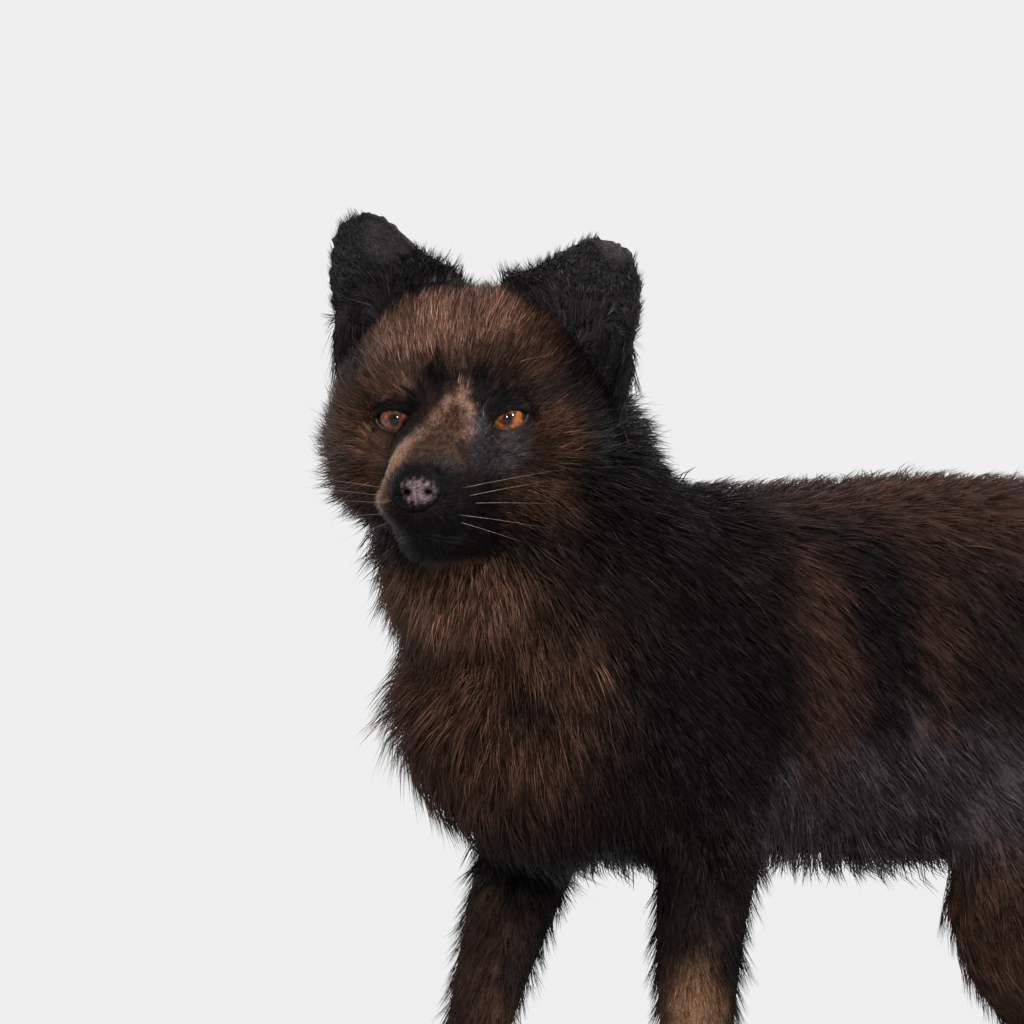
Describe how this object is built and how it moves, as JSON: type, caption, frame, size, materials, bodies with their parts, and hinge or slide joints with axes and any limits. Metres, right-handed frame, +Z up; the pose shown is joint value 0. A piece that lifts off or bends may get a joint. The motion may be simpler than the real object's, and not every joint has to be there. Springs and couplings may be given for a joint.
{
  "type": "taxidermy fox",
  "caption": "Life-size mounted red fox of the dark silver-black colour phase, standing in mid-step on its own paws with its head turned to its left and its bushy tail hanging.",
  "frame": {"origin": "on the floor, under the middle of the box round the whole animal", "axes": "+Z up, -Y towards the chest, +Y towards the tail, +X towards the animal's left"},
  "size_m": [0.2062, 0.707, 0.5131],
  "materials": {
    "fur_dark": "long dark guard hair, black-brown with silvery glints",
    "fur_brown": "short to medium reddish brown hair",
    "fur_black": "short black hair",
    "fur_pale": "long off-white hair of the tail tip",
    "eye": "polished amber glass eye with a dark pupil",
    "nose": "dried dark leather, worn pinkish on its front",
    "claw": "dark horn"
  },
  "bodies": {
    "root": {"head": "fur_brown", "lower_jaw": "fur_black", "ear_left": "fur_black", "ear_right": "fur_black", "neck": "fur_dark", "trunk": "fur_dark", "tail": "fur_dark", "tail_tip": "fur_pale", "nose": "nose", "eye_left": "eye", "eye_right": "eye", "shoulder_left": "fur_dark", "forearm_left": "fur_brown", "forepaw_left": "fur_brown", "thigh_left": "fur_dark", "shank_left": "fur_brown", "hindfoot_left": "fur_brown", "shoulder_right": "fur_dark", "forearm_right": "fur_brown", "forepaw_right": "fur_brown", "thigh_right": "fur_dark", "shank_right": "fur_brown", "hindfoot_right": "fur_brown", "claw_fore_left_1": "claw", "claw_fore_left_2": "claw", "claw_fore_left_3": "claw", "claw_fore_left_4": "claw", "claw_fore_right_1": "claw", "claw_fore_right_2": "claw", "claw_fore_right_3": "claw", "claw_fore_right_4": "claw", "claw_hind_left_1": "claw", "claw_hind_left_2": "claw", "claw_hind_left_3": "claw", "claw_hind_left_4": "claw", "claw_hind_right_1": "claw", "claw_hind_right_2": "claw", "claw_hind_right_3": "claw", "claw_hind_right_4": "claw"}
  },
  "joints": []
}
